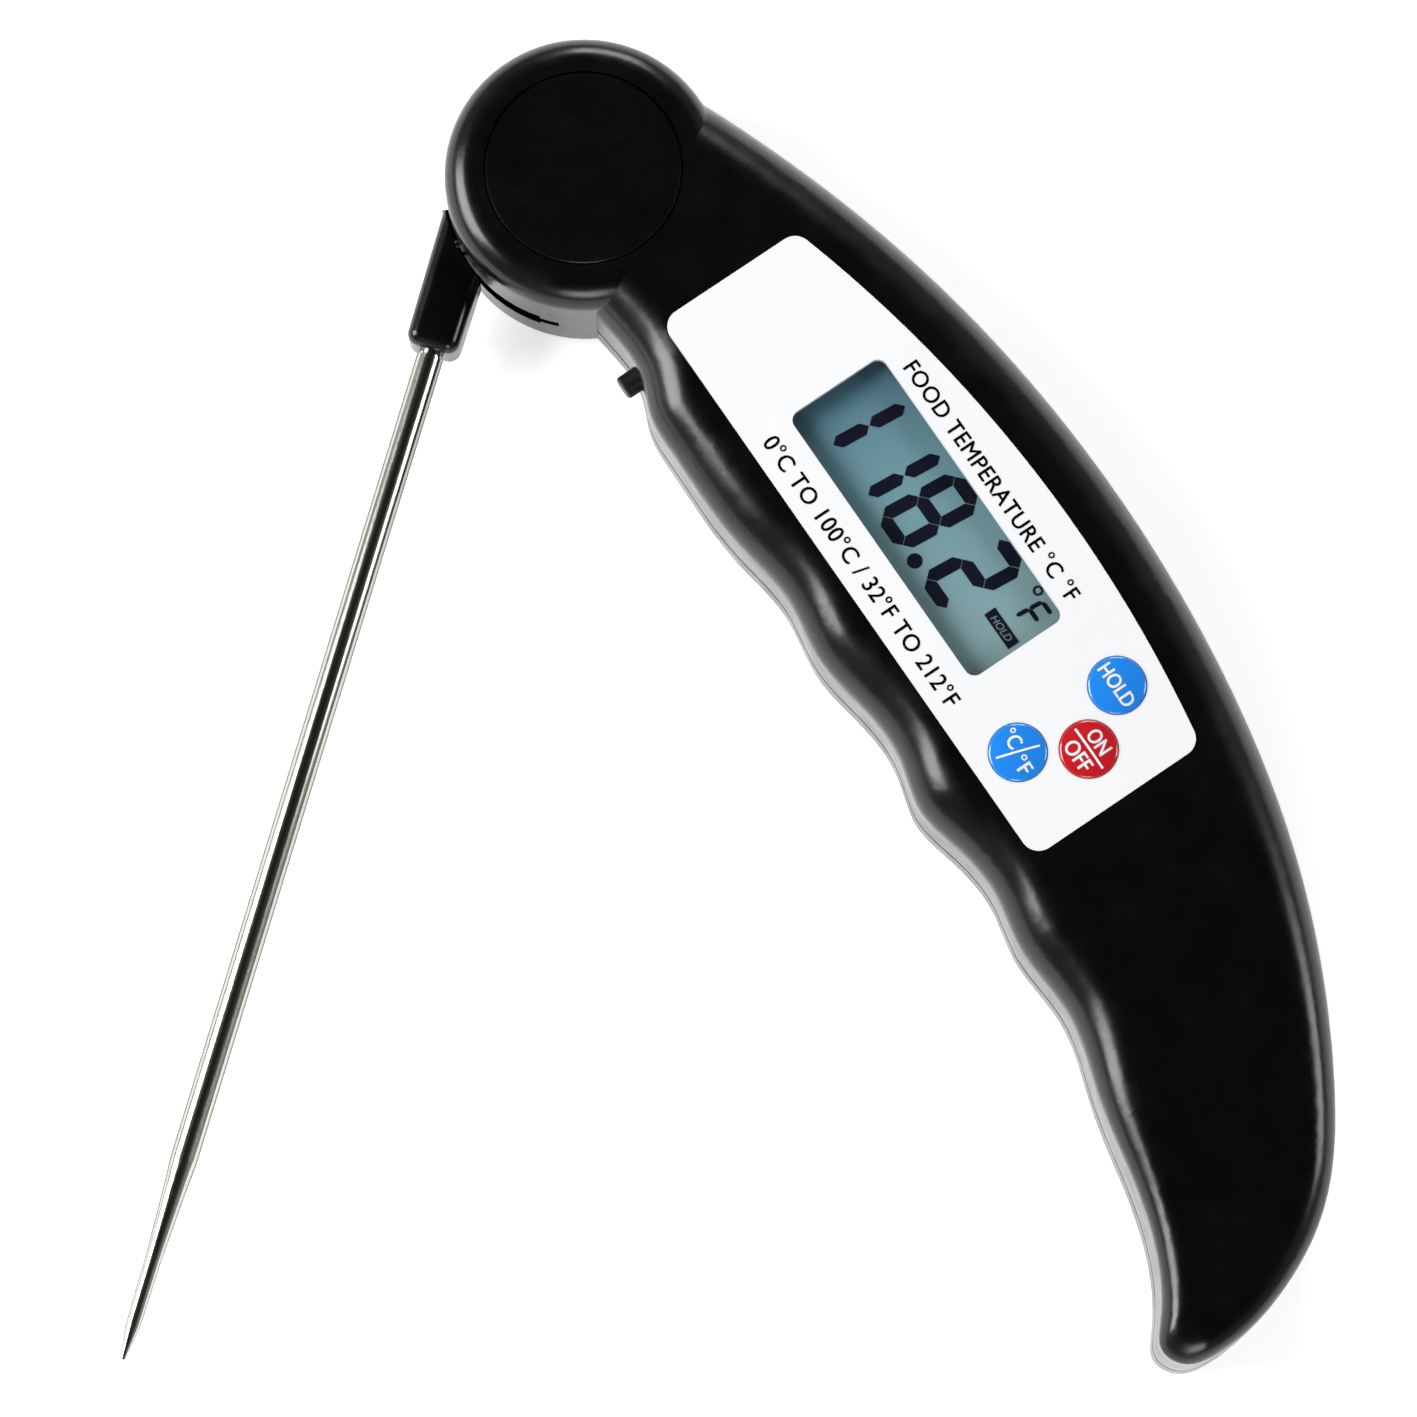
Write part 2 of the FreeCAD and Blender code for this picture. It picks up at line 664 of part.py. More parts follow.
def battery():
    door_top = "door_thick"
    door = turned("door_plate", [
        (0, 0), ("door_radius - 0.3", 0), ("door_radius", 0.3), ("door_radius", door_top), (0, door_top)])
    tabs = [cylinder("door_tab_%d" % number, "door_radius + door_tab", 0.95, door_top, 0, 0, start, 30)
            for number, start in enumerate((-15, 165), start=1)]
    slot = rounded_block("coin_slot", 14, 1.9, -1, 0.75, 0.9)
    keep(cut("door_solid", fuse("door_with_tabs", [door] + tabs), [slot]), "battery_door")
    keep(torus("seal_solid", "bay_radius + 1", 0.3, 1.77), "door_seal")
    cell = turned("cell_solid", [
        (0, "cell_base"), ("cell_radius - 0.3", "cell_base"), ("cell_radius", "cell_base + 0.3"),
        ("cell_radius", "cell_base + 2.5"), ("cell_radius - 0.6", "cell_base + 2.8"),
        ("cell_radius - 1.2", "cell_base + 2.8"), ("cell_radius - 1.4", "cell_base + cell_thick"),
        (0, "cell_base + cell_thick")])
    keep(cell, "coin_cell")
    side = fuse("side_contact_solid", [
        block("side_leaf", 0.2, 2.4, 3.3, 4.6, 10.15, -2.8),
        block("side_tail", 7.5, 1.6, 4.4, 4.6, 13.9, -2.8)])
    keep(side, "battery_contact_side")
    top = fuse("top_contact_solid", [
        block("top_leaf", 21, 2.2, 4.85, 5.05, 7.2, 2.2),
        cylinder("top_dimple", 0.8, 4.72, 4.9, 1.5, 2.2)])
    keep(top, "battery_contact_top")
    lower = wire_tube([(17.0, -2.8, 3.85), (20.5, -1.5, 3.6), (25.0, 4.0, 3.8), (28.4, 9.2, 5.6), (28.6, 9.6, 10.2)], 0.5)
    upper = wire_tube([(17.4, 2.2, 4.3), (20.5, 3.8, 4.0), (24.5, 8.0, 4.0), (27.6, 13.0, 6.0), (27.8, 13.4, 10.2)], 0.5)
    keep(shaped("battery_wires_solid", Part.makeCompound([lower, upper])), "battery_wires")


def probe():
    hub_ring = cut("drum_ring", cylinder("drum_disc", "drum_radius", "drum_base", "drum_top"),
                   [cylinder("drum_bore", "post_radius + running_play", "drum_base - 1", "drum_top + 1")])
    neck = cylinder("neck", "arm_clear + 0.3", "drum_base", "drum_top", 0, 0, "neck_start", "neck_span")
    neck = cut("neck_outer", neck, [cylinder("neck_inner", "drum_radius - 2", 0, "face_level")])
    body = new_body("arm_bar")
    profile = polygon(sketch_on(body, "arm_bar_profile", "XY_Plane"), [
        (-3, "-arm_root_width / 2"), ("arm_end", "-arm_end_width / 2"),
        ("arm_end", "arm_end_width / 2"), (-3, "arm_root_width / 2")])
    pad = body.newObject("PartDesign::Pad", "arm_bar_pad")
    pad.Profile = profile
    bind(pad, "Length", "arm_depth")

    def outer_edges(edge):
        if edge.BoundBox.XMax < 0:
            return None
        return size("arm_round"), size("arm_round")

    bar = round_edges("arm_bar_round", body, outer_edges)
    foot_x, foot_y, level, heading = PROBE_LINE
    place(bar, foot_x, foot_y, "probe_level - arm_depth / 2", heading)
    outer_bar = cut("arm_outer", bar, [cylinder("arm_clearance", "arm_clear", 0, "face_level")])
    whole = fuse("arm_whole", [hub_ring, neck, outer_bar])
    exit_hole = cylinder("lead_exit", 1.1, "probe_level", "drum_top + 1", foot_x, foot_y)
    arm = cut("arm_solid", whole, [
        rod_along("tube_socket", "tube_grip", "tube_start", "arm_end + 1", *PROBE_LINE),
        rod_along("lead_channel", 1.0, -1, "tube_start + 1", *PROBE_LINE), exit_hole])
    keep(arm, "probe_arm")
    tube = turned("tube_solid", [
        ("tube_bore", "tube_start"), ("tube_grip", "tube_start"), ("tube_grip", "arm_end + 0.5"),
        ("tube_radius", "arm_end + 0.5"), ("tube_radius", "shoulder_start"),
        (1.28, "shoulder_start + 3.3"), (0.92, "shoulder_start + 11.2"), (0.84, "tip_end - 3.8"),
        (0.3, "tip_end"), (0, "tip_end"), (0, "tip_end - 2.2"), (0.52, "tip_end - 2.9"),
        (0.52, "tip_end - 12"), ("tube_bore", "shoulder_start - 1")])
    keep(lay_along(tube, *PROBE_LINE), "probe_tube")
    bead = doc.addObject("Part::Sphere", "bead_solid")
    bind(bead, "Radius", 0.45)
    place(bead, "%s + (tip_end - 4) * cos(probe_heading)" % foot_x,
          "%s + (tip_end - 4) * sin(probe_heading)" % foot_y, level)
    keep(bead, "thermistor_bead")
    leads = [rod_along("lead_%d" % number, 0.15, 0.5, "tip_end - 4.4", foot_x, foot_y,
                       "%s + %s" % (level, shift), heading)
             for number, shift in enumerate((0.24, -0.24), start=1)]
    keep(group("leads_solid", leads), "sensor_leads")


def pivot():
    washer = cut("washer_solid", cylinder("washer_disc", "bearing_radius - 0.3", "drum_top + washer_play",
                                          "slot_level - washer_play"),
                 [cylinder("washer_hole", "post_radius + 0.15", "drum_base", "face_level")])
    keep(washer, "friction_washer")
    head_top = "face_level - cap_depth - 0.05"
    head_base = "face_level - cap_depth - pivot_head_depth"
    screw = turned("pivot_screw_blank", [
        (0, head_top), ("pivot_head_radius", head_top), ("pivot_head_radius", head_base),
        ("pivot_shank_radius", head_base), ("pivot_shank_radius", "pivot_shank_end + 0.8"),
        (0.7, "pivot_shank_end"), (0, "pivot_shank_end")])
    cross = [block("cross_long", 3.2, 0.7, "%s - 0.8" % head_top, "face_level"),
             block("cross_wide", 0.7, 3.2, "%s - 0.8" % head_top, "face_level")]
    keep(cut("pivot_screw_solid", screw, cross), "pivot_screw")
    cap_base = "face_level - cap_depth + 0.05"
    cap = turned("cap_solid", [
        (0, cap_base), ("cap_radius", cap_base), ("cap_radius", "face_level - 0.2"),
        ("cap_radius - 0.2", "face_level"), (0, "face_level")])
    keep(cap, "hub_cap")
    turn = [(10.4 * math.cos(math.radians(angle)), 10.4 * math.sin(math.radians(angle)), level)
            for angle, level in ((-128, 11.2), (-100, 11.3), (-72, 11.5), (-44, 11.8), (-16, 12.2))]
    tail = wire_tube(turn + [(17.5, 1.5, 12.6), (23.0, 7.0, 12.7), (27.2, 12.4, 12.3)], 0.45)
    keep(shaped("board_leads_solid", tail), "board_leads")


def housing_screws():
    screws = []
    for number, (x, y) in enumerate(HOUSING_SCREWS, start=1):
        screw = turned("housing_screw_%d" % number, [
            (0, "screw_head_base + 0.9"), (0.9, "screw_head_base + 0.9"), (0.9, "screw_head_base"),
            ("screw_head_radius - 0.2", "screw_head_base"), ("screw_head_radius", "screw_head_base + 0.3"),
            ("screw_head_radius", "screw_head_top"), ("screw_shank_radius", "screw_head_top"),
            ("screw_shank_radius", "screw_end - 1"), (0.3, "screw_end"), (0, "screw_end")])
        screws.append(place(screw, x, y, 0))
    keep(group("housing_screws_solid", screws), "housing_screws")


fill_sheet()
handle_plan = outline_sketch("handle_plan")
plan_inside = outline_sketch("plan_inside", size("shell_wall"))
plan_lip = outline_sketch("plan_lip", size("lip_wall"))
plan_rebate = outline_sketch("plan_rebate", size("lip_wall") - size("lip_play"))
plate_outline = plate_plan("plate_outline")
plate_room = doc.addObject("Part::Offset2D", "plate_room")
plate_room.Source = plate_outline
plate_room.Join = "Intersection"
bind(plate_room, "Value", "plate_play")
recess = plate_solid("plate_recess", plate_room, "face_level + plate_proud - plate_thick",
                     "face_level + 1", size("plate_corner"))

front_shell(handle_plan, plan_inside, plan_rebate, on_plate(recess))
back_shell(handle_plan, plan_inside, plan_lip)
front_plate(plate_outline)
display()
board()
for button_name, (button_x, button_y) in BUTTONS.items():
    button(button_name, button_x, button_y)
auto_off()
battery()
probe()
pivot()
housing_screws()

doc.recompute()
for item in doc.Objects:
    if "Invalid" in item.State or "Error" in item.State:
        raise RuntimeError("%s failed to recompute" % item.Name)
for node in nodes:
    if node.Shape.isNull() or not node.Shape.isValid() or not node.Shape.Solids:
        raise RuntimeError("%s has no valid solid" % node.Label)
os.makedirs("parts", exist_ok=True)
for node in nodes:
    node.Shape.exportStep(os.path.join("parts", node.Label + ".step"))
    print("%-22s %2d solids %10.1f mm3" % (node.Label, len(node.Shape.Solids), node.Shape.Volume))
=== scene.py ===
import json
import math

import bmesh
import bpy
from mathutils import Matrix, Vector


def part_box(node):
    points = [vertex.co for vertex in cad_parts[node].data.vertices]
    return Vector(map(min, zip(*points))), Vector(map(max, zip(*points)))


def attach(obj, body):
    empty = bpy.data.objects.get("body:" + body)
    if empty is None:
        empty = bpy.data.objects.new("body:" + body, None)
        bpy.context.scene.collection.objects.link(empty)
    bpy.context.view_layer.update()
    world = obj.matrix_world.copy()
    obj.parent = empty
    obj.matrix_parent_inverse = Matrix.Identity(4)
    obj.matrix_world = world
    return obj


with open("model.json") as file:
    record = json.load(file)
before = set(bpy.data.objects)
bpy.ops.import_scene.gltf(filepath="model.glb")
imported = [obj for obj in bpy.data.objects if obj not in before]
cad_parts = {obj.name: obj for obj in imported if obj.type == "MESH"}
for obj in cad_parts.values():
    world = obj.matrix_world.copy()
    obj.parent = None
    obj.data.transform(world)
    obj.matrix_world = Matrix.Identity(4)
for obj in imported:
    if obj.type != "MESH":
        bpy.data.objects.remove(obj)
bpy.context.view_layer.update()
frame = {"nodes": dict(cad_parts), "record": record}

MM = 0.001
CAP_HEIGHT = 0.729            # capital height of the built-in font at size 1
PRINT = 0.00003               # thickness of printed ink
PRINT_LIFT = 0.3 * PRINT      # print starts this far above its surface
LINE_WEIGHT = 0.03 * MM       # how far the plate's print is thickened to each side
LINE_SPACING = 1.06
KEY_WEIGHT = 0.04 * MM        # the same for the lettering on the keys

# ---------------------------------------------------------------- shader helpers


def new_material(name):
    material = bpy.data.materials.new(name)
    material.use_nodes = True
    nodes = material.node_tree.nodes
    shader = nodes["Principled BSDF"]
    return material, nodes, material.node_tree.links, shader


def object_coords(nodes):
    return nodes.new("ShaderNodeTexCoord").outputs["Object"]


def noise(nodes, links, coords, scale, detail=3.0, roughness=0.55):
    texture = nodes.new("ShaderNodeTexNoise")
    texture.inputs["Scale"].default_value = scale
    texture.inputs["Detail"].default_value = detail
    texture.inputs["Roughness"].default_value = roughness
    links.new(coords, texture.inputs["Vector"])
    return texture.outputs["Fac"]


def stretch(nodes, links, coords, scale, turn=0.0):
    """Coordinates turned about Z and scaled, for streaks."""
    mapping = nodes.new("ShaderNodeMapping")
    mapping.vector_type = "TEXTURE"
    mapping.inputs["Rotation"].default_value = (0.0, 0.0, turn)
    mapping.inputs["Scale"].default_value = scale
    links.new(coords, mapping.inputs["Vector"])
    return mapping.outputs["Vector"]


def spread(nodes, links, value, low, high):
    """Maps a 0.3 to 0.7 noise to the range low to high."""
    span = nodes.new("ShaderNodeMapRange")
    span.inputs["From Min"].default_value = 0.3
    span.inputs["From Max"].default_value = 0.7
    span.inputs["To Min"].default_value = low
    span.inputs["To Max"].default_value = high
    links.new(value, span.inputs["Value"])
    return span.outputs["Result"]


def mix_colors(nodes, links, factor, first, second):
    mix = nodes.new("ShaderNodeMix")
    mix.data_type = "RGBA"
    mix.inputs["A"].default_value = (*first, 1.0)
    mix.inputs["B"].default_value = (*second, 1.0)
    links.new(factor, mix.inputs["Factor"])
    return mix.outputs["Result"]


def bump(nodes, links, shader, height, strength, distance):
    node = nodes.new("ShaderNodeBump")
    node.inputs["Strength"].default_value = strength
    node.inputs["Distance"].default_value = distance
    links.new(height, node.inputs["Height"])
    links.new(node.outputs["Normal"], shader.inputs["Normal"])


def moulded_plastic(name, color, second, roughness, grain=2600.0, depth=0.00002,
                    specular=0.5, coat=0.0):
    """Moulded plastic: fine spark-eroded grain, slight tone drift and patches of wear in the gloss."""
    material, nodes, links, shader = new_material(name)
    coords = object_coords(nodes)
    drift = noise(nodes, links, coords, 60.0, 4.0)
    links.new(mix_colors(nodes, links, drift, color, second), shader.inputs["Base Color"])
    patches = noise(nodes, links, coords, 240.0, 5.0, 0.6)
    gloss = spread(nodes, links, patches, roughness - 0.04, roughness + 0.05)
    links.new(gloss, shader.inputs["Roughness"])
    bump(nodes, links, shader, noise(nodes, links, coords, grain, 2.0), 0.35, depth)
    shader.inputs["Specular IOR Level"].default_value = specular
    shader.inputs["Coat Weight"].default_value = coat
    shader.inputs["Coat Roughness"].default_value = 0.12
    return material


def metal(name, color, second, roughness, streak, turn=0.0, depth=0.00001, painted_rim_shade=1.0):
    """Metal with drawn or brushed streaks along one direction."""
    material, nodes, links, shader = new_material(name)
    coords = object_coords(nodes)
    streaks = noise(nodes, links, stretch(nodes, links, coords, streak, turn), 1.0, 4.0, 0.6)
    links.new(mix_colors(nodes, links, streaks, color, second), shader.inputs["Base Color"])
    gloss = spread(nodes, links, streaks, roughness - 0.05, roughness + 0.07)
    links.new(gloss, shader.inputs["Roughness"])
    bump(nodes, links, shader, streaks, 0.25, depth)
    shader.inputs["Metallic"].default_value = 1.0
    # A low tint here darkens the reflection at grazing angles: painted shade along the outer lines of
    # a rounded part.
    shader.inputs["Specular Tint"].default_value = (painted_rim_shade, painted_rim_shade, painted_rim_shade, 1.0)
    return material


def clear_window():
    """Thin clear plastic with faint wipe marks in its gloss."""
    material, nodes, links, shader = new_material("clear_window")
    coords = object_coords(nodes)
    wipes = noise(nodes, links, stretch(nodes, links, coords, (0.01, 0.0008, 0.01), 0.4), 1.0, 3.0)
    links.new(spread(nodes, links, wipes, 0.02, 0.07), shader.inputs["Roughness"])
    shader.inputs["Base Color"].default_value = (0.01, 0.012, 0.012, 1.0)
    shader.inputs["Alpha"].default_value = 0.1
    return material


def display_glass(box_low, box_high):
    """Liquid crystal on its reflector: grey green, with painted shade that makes it bluer and darker
    towards the hub.
    """
    material, nodes, links, shader = new_material("display_glass")
    coords = object_coords(nodes)
    parts = nodes.new("ShaderNodeSeparateXYZ")
    links.new(coords, parts.inputs["Vector"])
    along = nodes.new("ShaderNodeMapRange")
    along.inputs["From Min"].default_value = box_low[0]
    along.inputs["From Max"].default_value = box_high[0]
    links.new(parts.outputs["X"], along.inputs["Value"])
    # Painted shade along the display: darkest and bluest at the hub end, where the recess shades the
    # panel, and palest at the far end.
    grade = nodes.new("ShaderNodeValToRGB")
    stops = grade.color_ramp.elements
    stops[0].position = 0.0
    stops[0].color = (0.09, 0.21, 0.30, 1.0)
    stops[1].position = 1.0
    stops[1].color = (0.31, 0.48, 0.50, 1.0)
    middle = stops.new(0.35)
    middle.color = (0.19, 0.38, 0.44, 1.0)
    links.new(along.outputs["Result"], grade.inputs["Fac"])
    links.new(grade.outputs["Color"], shader.inputs["Base Color"])
    sparkle = noise(nodes, links, coords, 5000.0, 1.0)
    links.new(spread(nodes, links, sparkle, 0.3, 0.42), shader.inputs["Roughness"])
    bump(nodes, links, shader, sparkle, 0.15, 0.000005)
    return material


def make_materials():
    black = (0.0011, 0.0011, 0.0014)
    black_drift = (0.0018, 0.0018, 0.0021)
    box_low, box_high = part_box("lcd_panel")
    probe_turn = math.radians(-43.0)
    return {
        "black_housing": moulded_plastic("black_housing", black, black_drift, 0.24, specular=0.4),
        "black_arm": moulded_plastic("black_arm", black, black_drift, 0.22, specular=0.4),
        "black_pin": moulded_plastic("black_pin", (0.006, 0.006, 0.006), (0.009, 0.009, 0.009),
                                     0.4),
        "black_door": moulded_plastic("black_door", (0.005, 0.005, 0.006), (0.007, 0.007, 0.008),
                                      0.36),
        "white_plate": moulded_plastic("white_plate", (0.77, 0.785, 0.80), (0.81, 0.82, 0.835),
                                       0.32,
                                       grain=4000.0, depth=0.000006, coat=0.2),
        "clear_window": clear_window(),
        "display_glass": display_glass(box_low, box_high),
        "inner_plastic": moulded_plastic("inner_plastic", (0.55, 0.55, 0.52), (0.6, 0.6, 0.57),
                                         0.5),
        "reflector_film": metal("reflector_film", (0.7, 0.72, 0.73), (0.6, 0.62, 0.63),
                                0.3, (0.004, 0.0002, 0.01)),
        "conductive_rubber": moulded_plastic("conductive_rubber", (0.06, 0.06, 0.07),
                                             (0.16, 0.16, 0.17), 0.6),
        "board_laminate": moulded_plastic("board_laminate", (0.01, 0.09, 0.035),
                                          (0.015, 0.12, 0.05), 0.3),
        "chip_epoxy": moulded_plastic("chip_epoxy", (0.004, 0.004, 0.004), (0.008, 0.008, 0.008),
                                      0.2),
        "component_ceramic": moulded_plastic("component_ceramic", (0.3, 0.22, 0.12),
                                             (0.4, 0.3, 0.18), 0.45),
        "screw_steel": metal("screw_steel", (0.55, 0.55, 0.54), (0.42, 0.42, 0.42),
                             0.3, (0.001, 0.001, 0.0004)),
        "spring_steel": metal("spring_steel", (0.6, 0.6, 0.6), (0.5, 0.5, 0.5),
                              0.25, (0.0005, 0.002, 0.001)),
        "switch_body": moulded_plastic("switch_body", (0.02, 0.02, 0.022), (0.03, 0.03, 0.03),
                                       0.45),
        "switch_plunger": moulded_plastic("switch_plunger", (0.02, 0.02, 0.02), (0.03, 0.03, 0.03),
                                          0.4),
        "cell_steel": metal("cell_steel", (0.7, 0.7, 0.69), (0.6, 0.6, 0.6),
                            0.25, (0.004, 0.0003, 0.004)),
        "contact_brass": metal("contact_brass", (0.75, 0.62, 0.35), (0.65, 0.52, 0.28),
                               0.28, (0.003, 0.0003, 0.003)),
        "wire_sheath": moulded_plastic("wire_sheath", (0.02, 0.02, 0.02), (0.03, 0.03, 0.03), 0.4),
        "seal_rubber": moulded_plastic("seal_rubber", (0.012, 0.012, 0.012), (0.02, 0.02, 0.02),
                                       0.55),
        # The low tint at the end paints shade along the stem's outer lines.
        "probe_steel": metal("probe_steel", (0.62, 0.62, 0.57), (0.44, 0.45, 0.4), 0.17,
                             (0.03, 0.0002, 0.0002), probe_turn, painted_rim_shade=0.02),
        "bead_glass": moulded_plastic("bead_glass", (0.25, 0.12, 0.03), (0.3, 0.15, 0.05), 0.2),
        "blue_key": moulded_plastic("blue_key", (0.012, 0.2, 0.7), (0.016, 0.23, 0.76), 0.16,
                                    grain=3000.0, depth=0.000005, coat=0.6),
        "red_key": moulded_plastic("red_key", (0.47, 0.008, 0.014), (0.53, 0.012, 0.018), 0.16,
                                   grain=3000.0, depth=0.000005, coat=0.6),
        "black_print": moulded_plastic("black_print", (0.012, 0.012, 0.014), (0.02, 0.02, 0.022),
                                       0.45,
                                       grain=6000.0, depth=0.000004),
        "white_print": moulded_plastic("white_print", (0.82, 0.83, 0.85), (0.88, 0.88, 0.9), 0.4,
                                       grain=6000.0, depth=0.000004),
        "display_light": moulded_plastic("display_light", (0.22, 0.3, 0.32), (0.26, 0.34, 0.36),
                                         0.4,
                                         grain=6000.0, depth=0.000003),
        "display_ink": moulded_plastic("display_ink", (0.001, 0.002, 0.012), (0.002, 0.004, 0.018),
                                       0.35,
                                       grain=6000.0, depth=0.000003),
    }


materials = make_materials()
for part in frame["record"]["subparts"]:
    node = frame["nodes"][part["node"]]
    node.data.materials.clear()
    node.data.materials.append(materials[part["material_slot"]])

# ---------------------------------------------------------------- places on the front plate

PLATE_TURN = math.radians(7.5)
plate_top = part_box("faceplate")[1][2]
panel_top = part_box("lcd_panel")[1][2]
window_low, window_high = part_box("lcd_window")
window_centre = Vector(((window_low[0] + window_high[0]) / 2,
                        (window_low[1] + window_high[1]) / 2, 0.0))


def plate_matrix(along, across, level, turn=0.0):
    """Place on the plate: along the display and across it, in metres from the display's middle."""
    turned = Matrix.Rotation(PLATE_TURN, 4, "Z")
    place = Matrix.Translation(window_centre) @ turned @ Matrix.Translation((along, across, 0.0))
    return Matrix.Translation((0.0, 0.0, level)) @ place @ Matrix.Rotation(turn, 4, "Z")


def add_piece(name, mesh, material, body, matrix):
    """A visible piece with its place baked into its vertices, riding on a CAD body."""
    mesh.transform(matrix)
    mesh.materials.clear()
    mesh.materials.append(materials[material])
    piece = bpy.data.objects.new(name, mesh)
    bpy.context.scene.collection.objects.link(piece)
    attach(piece, body)


def flat_prism(outlines, thickness):
    """Mesh of thin prisms, one for each closed outline of (x, y) points."""
    build = bmesh.new()
    for outline in outlines:
        face = build.faces.new([build.verts.new((x, y, 0.0)) for x, y in outline])
        if face.normal.z < 0:
            face.normal_flip()
        raised = bmesh.ops.extrude_face_region(build, geom=[face])["geom"]
        moved = [item for item in raised if isinstance(item, bmesh.types.BMVert)]
        bmesh.ops.translate(build, verts=moved, vec=(0.0, 0.0, thickness))
    bmesh.ops.recalc_face_normals(build, faces=build.faces)
    mesh = bpy.data.meshes.new("prism")
    build.to_mesh(mesh)
    build.free()
    return mesh


def rectangle(length, width):
    """Outline of a rectangle centred on the origin."""
    half_length, half_width = length / 2, width / 2
    return [(-half_length, -half_width), (half_length, -half_width),
            (half_length, half_width), (-half_length, half_width)]


def text_mesh(text, height, thickness, spacing=1.0, shear=0.0):
    """Capital letters of a given height as thin solid letters, centred on the origin."""
    curve = bpy.data.curves.new("lettering", "FONT")
    curve.body = text
    curve.size = 1.0
    curve.space_character = spacing
    curve.shear = shear
    curve.extrude = 0.5
    curve.resolution_u = 4
    source = bpy.data.objects.new("lettering", curve)
    bpy.context.scene.collection.objects.link(source)
    bpy.context.view_layer.update()
    graph = bpy.context.evaluated_depsgraph_get()
    mesh = bpy.data.meshes.new_from_object(source.evaluated_get(graph))
    bpy.data.objects.remove(source)
    bpy.data.curves.remove(curve)
    lows = [min(vertex.co[axis] for vertex in mesh.vertices) for axis in range(3)]
    highs = [max(vertex.co[axis] for vertex in mesh.vertices) for axis in range(3)]
    scale = height / CAP_HEIGHT
    centre = Vector(((lows[0] + highs[0]) / 2, CAP_HEIGHT / 2, lows[2]))
    depth = highs[2] - lows[2]
    sized = Matrix.Diagonal((scale, scale, thickness / depth, 1.0))
    mesh.transform(sized @ Matrix.Translation(-centre))
    return mesh


# ---------------------------------------------------------------- seven-segment display

DIGIT_BASE = -4.7 * MM
DIGIT_HEIGHT = 10.5 * MM
DIGIT_WIDTH = 5.4 * MM
BAR = 1.5 * MM
SEGMENT_GAP = 0.035      # gap at a segment's tip, as a share of its width
DISPLAY_RISE = 0.4 * MM       # the shown signs sit this far above the window's middle
LEAN = math.tan(math.radians(5.0))
SEGMENTS = {"1": "bc", "2": "abged", "8": "abcdefg", "F": "aefg"}
READING = [("1", -17.25), ("1", -10.55), ("8", -3.85), ("2", 4.55)]    # figure, left edge in mm
POINT_ALONG = 3.0 * MM        # the decimal point
POINT_RADIUS = 0.85 * MM
UNIT_LEFT = 13.9 * MM         # the small F at the right
UNIT_BASE = 1.5 * MM
UNIT_HEIGHT = 3.75 * MM
UNIT_WIDTH = 2.2 * MM
UNIT_BAR = 0.5 * MM
DEGREE_ALONG = 13.2 * MM      # the degree ring beside it
DEGREE_ACROSS = 5.3 * MM
DEGREE_RADIUS = 0.45 * MM
DEGREE_WIDTH = 0.25 * MM
SIGN_ALONG = 14.4 * MM        # the hold sign, a dark panel with light letters
SIGN_ACROSS = -0.3 * MM
SIGN_LENGTH = 4.6 * MM
SIGN_WIDTH = 1.44 * MM
SIGN_LETTERS = 0.85 * MM


def bar_outline(start, end, width, bevel):
    """Hexagonal segment between two points."""
    along = (end - start).normalized()
    side = Vector((-along.y, along.x)) * (width / 2)
    tip = along * bevel
    return [start, start + tip + side, end - tip + side, end, end - tip - side, start + tip - side]


def digit_outlines(figure, left, base, height, width, bar):
    """Outlines of one leaning seven-segment figure."""
    half = bar / 2
    gap = SEGMENT_GAP * bar
    reach = 0.5 * bar
    low, middle, high = base + half, base + height / 2, base + height - half
    near, far = left + half, left + width - half
    ends = {
        "a": ((near, high), (far, high)),
        "b": ((far, high), (far, middle)),
        "c": ((far, middle), (far, low)),
        "d": ((near, low), (far, low)),
        "e": ((near, middle), (near, low)),
        "f": ((near, high), (near, middle)),
        "g": ((near, middle), (far, middle)),
    }
    outlines = []
    for segment in SEGMENTS[figure]:
        start, end = (Vector(point) for point in ends[segment])
        along = (end - start).normalized()
        outline = bar_outline(start + along * gap, end - along * gap, bar, reach)
        outlines.append([(point.x + LEAN * (point.y - base), point.y) for point in outline])
    return outlines


def disc_outline(centre_x, centre_y, radius, points=24):
    step = 2 * math.pi / points
    return [(centre_x + radius * math.cos(step * number), centre_y + radius * math.sin(step * number))
            for number in range(points)]


def ring_mesh(radius, width, thickness, points=40):
    """Flat ring with a little depth."""
    build = bmesh.new()
    step = 2 * math.pi / points
    loops = []
    for level in (0.0, thickness):
        for distance in (radius - width / 2, radius + width / 2):
            loops.append([build.verts.new((distance * math.cos(step * number),
                                           distance * math.sin(step * number), level))
                          for number in range(points)])
    inner_low, outer_low, inner_high, outer_high = loops
    for number in range(points):
        following = (number + 1) % points
        for first, second in ((inner_low, outer_low), (outer_low, outer_high),
                              (outer_high, inner_high), (inner_high, inner_low)):
            build.faces.new((first[number], second[number], second[following], first[following]))
    bmesh.ops.recalc_face_normals(build, faces=build.faces)
    mesh = bpy.data.meshes.new("ring")
    build.to_mesh(mesh)
    build.free()
    return mesh


